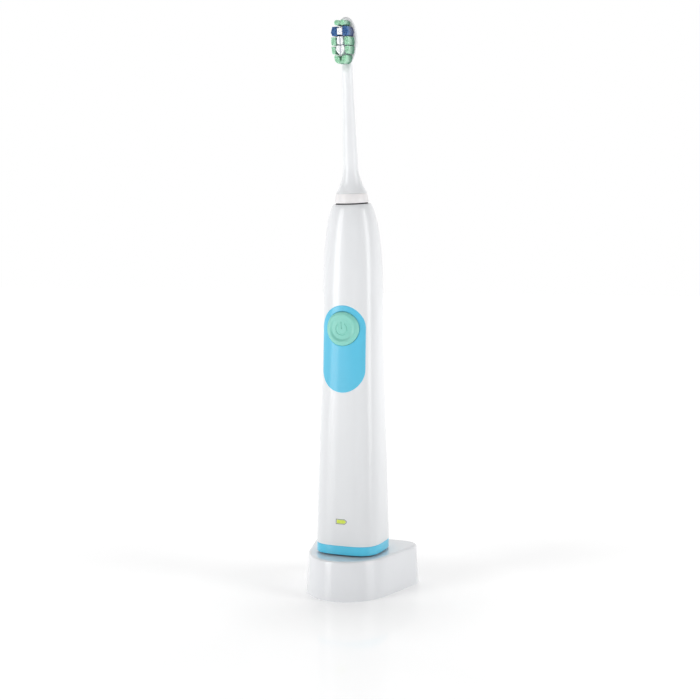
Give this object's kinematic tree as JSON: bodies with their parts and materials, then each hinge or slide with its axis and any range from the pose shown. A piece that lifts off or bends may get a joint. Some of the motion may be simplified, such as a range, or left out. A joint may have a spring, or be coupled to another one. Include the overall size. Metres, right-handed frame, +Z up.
{
  "type": "electric toothbrush on charger",
  "caption": "Sonic toothbrush with a blue grip, mint power button and bristle head, standing on the post of a low white charging base.",
  "frame": {"origin": "on the axis of the charging post, in the plane of the surface that the charger stands on", "axes": "+Z up along the charging post, -Y towards the side that the bristles, the button and the battery light face, +X to the right when the object is seen from behind"},
  "size_m": [0.0536, 0.0551, 0.2686],
  "materials": {
    "charger_white": "smooth white moulding with a fine satin sheen",
    "base_grey": "fine spark-eroded texture",
    "foot_rubber": "matt",
    "steel": "bright stamped and turned steel",
    "ferrite": "dull sintered ferrite",
    "black_plastic": "moulded black plastic",
    "copper_wire": "enamelled copper winding",
    "circuit_board": "solder mask",
    "capacitor_sleeve": "shrink sleeve",
    "handle_white": "smooth white moulding",
    "grip_blue": "soft satin overmould",
    "seal_rubber": "matt",
    "light_green": "lit translucent light guide",
    "led_epoxy": "clear yellow epoxy",
    "ring_blue": "smooth",
    "cap_grey": "moulded engineering plastic",
    "battery_sleeve": "shrink sleeve",
    "foam_grey": "closed-cell foam",
    "core_steel": "laminated electrical steel",
    "bush_bronze": "sintered bronze",
    "button_mint": "soft satin",
    "magnet_nickel": "nickel plated",
    "ring_grey": "translucent warm grey",
    "bristle_green": "nylon filaments",
    "bristle_blue": "nylon filaments",
    "bristle_white": "nylon filaments"
  },
  "bodies": {
    "charger": {"charger_shell": "charger_white", "charger_base_plate": "base_grey", "charger_foot_ring": "foot_rubber", "charger_screws": "steel", "charger_core": "ferrite", "charger_bobbin": "black_plastic", "charger_coil": "copper_wire", "charger_pcb": "circuit_board", "charger_capacitors": "capacitor_sleeve", "charger_chips": "black_plastic", "cord_gland": "base_grey"},
    "handle": {"handle_housing": "handle_white", "grip_panel": "grip_blue", "button_seal": "seal_rubber", "battery_light": "light_green", "end_ring": "ring_blue", "end_cap": "cap_grey", "end_cap_seal": "seal_rubber", "receive_bobbin": "black_plastic", "receive_coil": "copper_wire", "chassis": "cap_grey", "battery_cell": "battery_sleeve", "battery_tabs": "steel", "battery_cushion": "foam_grey", "main_pcb": "circuit_board", "pcb_chips": "black_plastic", "status_led": "led_epoxy", "switch_body": "black_plastic", "motor_frame": "steel", "stator_core": "core_steel", "stator_bobbin": "black_plastic", "stator_coil": "copper_wire", "lower_bush": "bush_bronze", "upper_bush": "bush_bronze", "torsion_spring": "steel", "neck_collar": "cap_grey", "neck_oring": "seal_rubber", "neck_seal": "seal_rubber"},
    "button": {"power_button": "button_mint", "switch_plunger": "black_plastic"},
    "drive": {"drive_shaft": "steel", "magnet_carrier": "core_steel", "drive_magnets": "magnet_nickel"},
    "brush_head": {"head_shank": "handle_white", "head_ring": "ring_grey", "head_clip": "steel", "tufts_green": "bristle_green", "tufts_blue": "bristle_blue", "tufts_white": "bristle_white"}
  },
  "joints": [
    {"name": "handle_lift", "type": "slide", "parent": "charger", "child": "handle", "axis": [0, 0, 1], "range_m": [0, 0.06]},
    {"name": "button_press", "type": "slide", "parent": "handle", "child": "button", "axis": [0, 1, 0], "range_m": [0, 0.0008], "stiffness_N_per_m": 1500},
    {"name": "drive_swing", "type": "hinge", "parent": "handle", "child": "drive", "pos_m": [0, -0.0017, 0.184], "axis": [0, -0.0976, 0.9952], "range_deg": [-6, 6], "stiffness_Nm_per_rad": 0.8},
    {"name": "head_pull", "type": "slide", "parent": "drive", "child": "brush_head", "axis": [0, -0.0976, 0.9952], "range_m": [0, 0.03]}
  ]
}
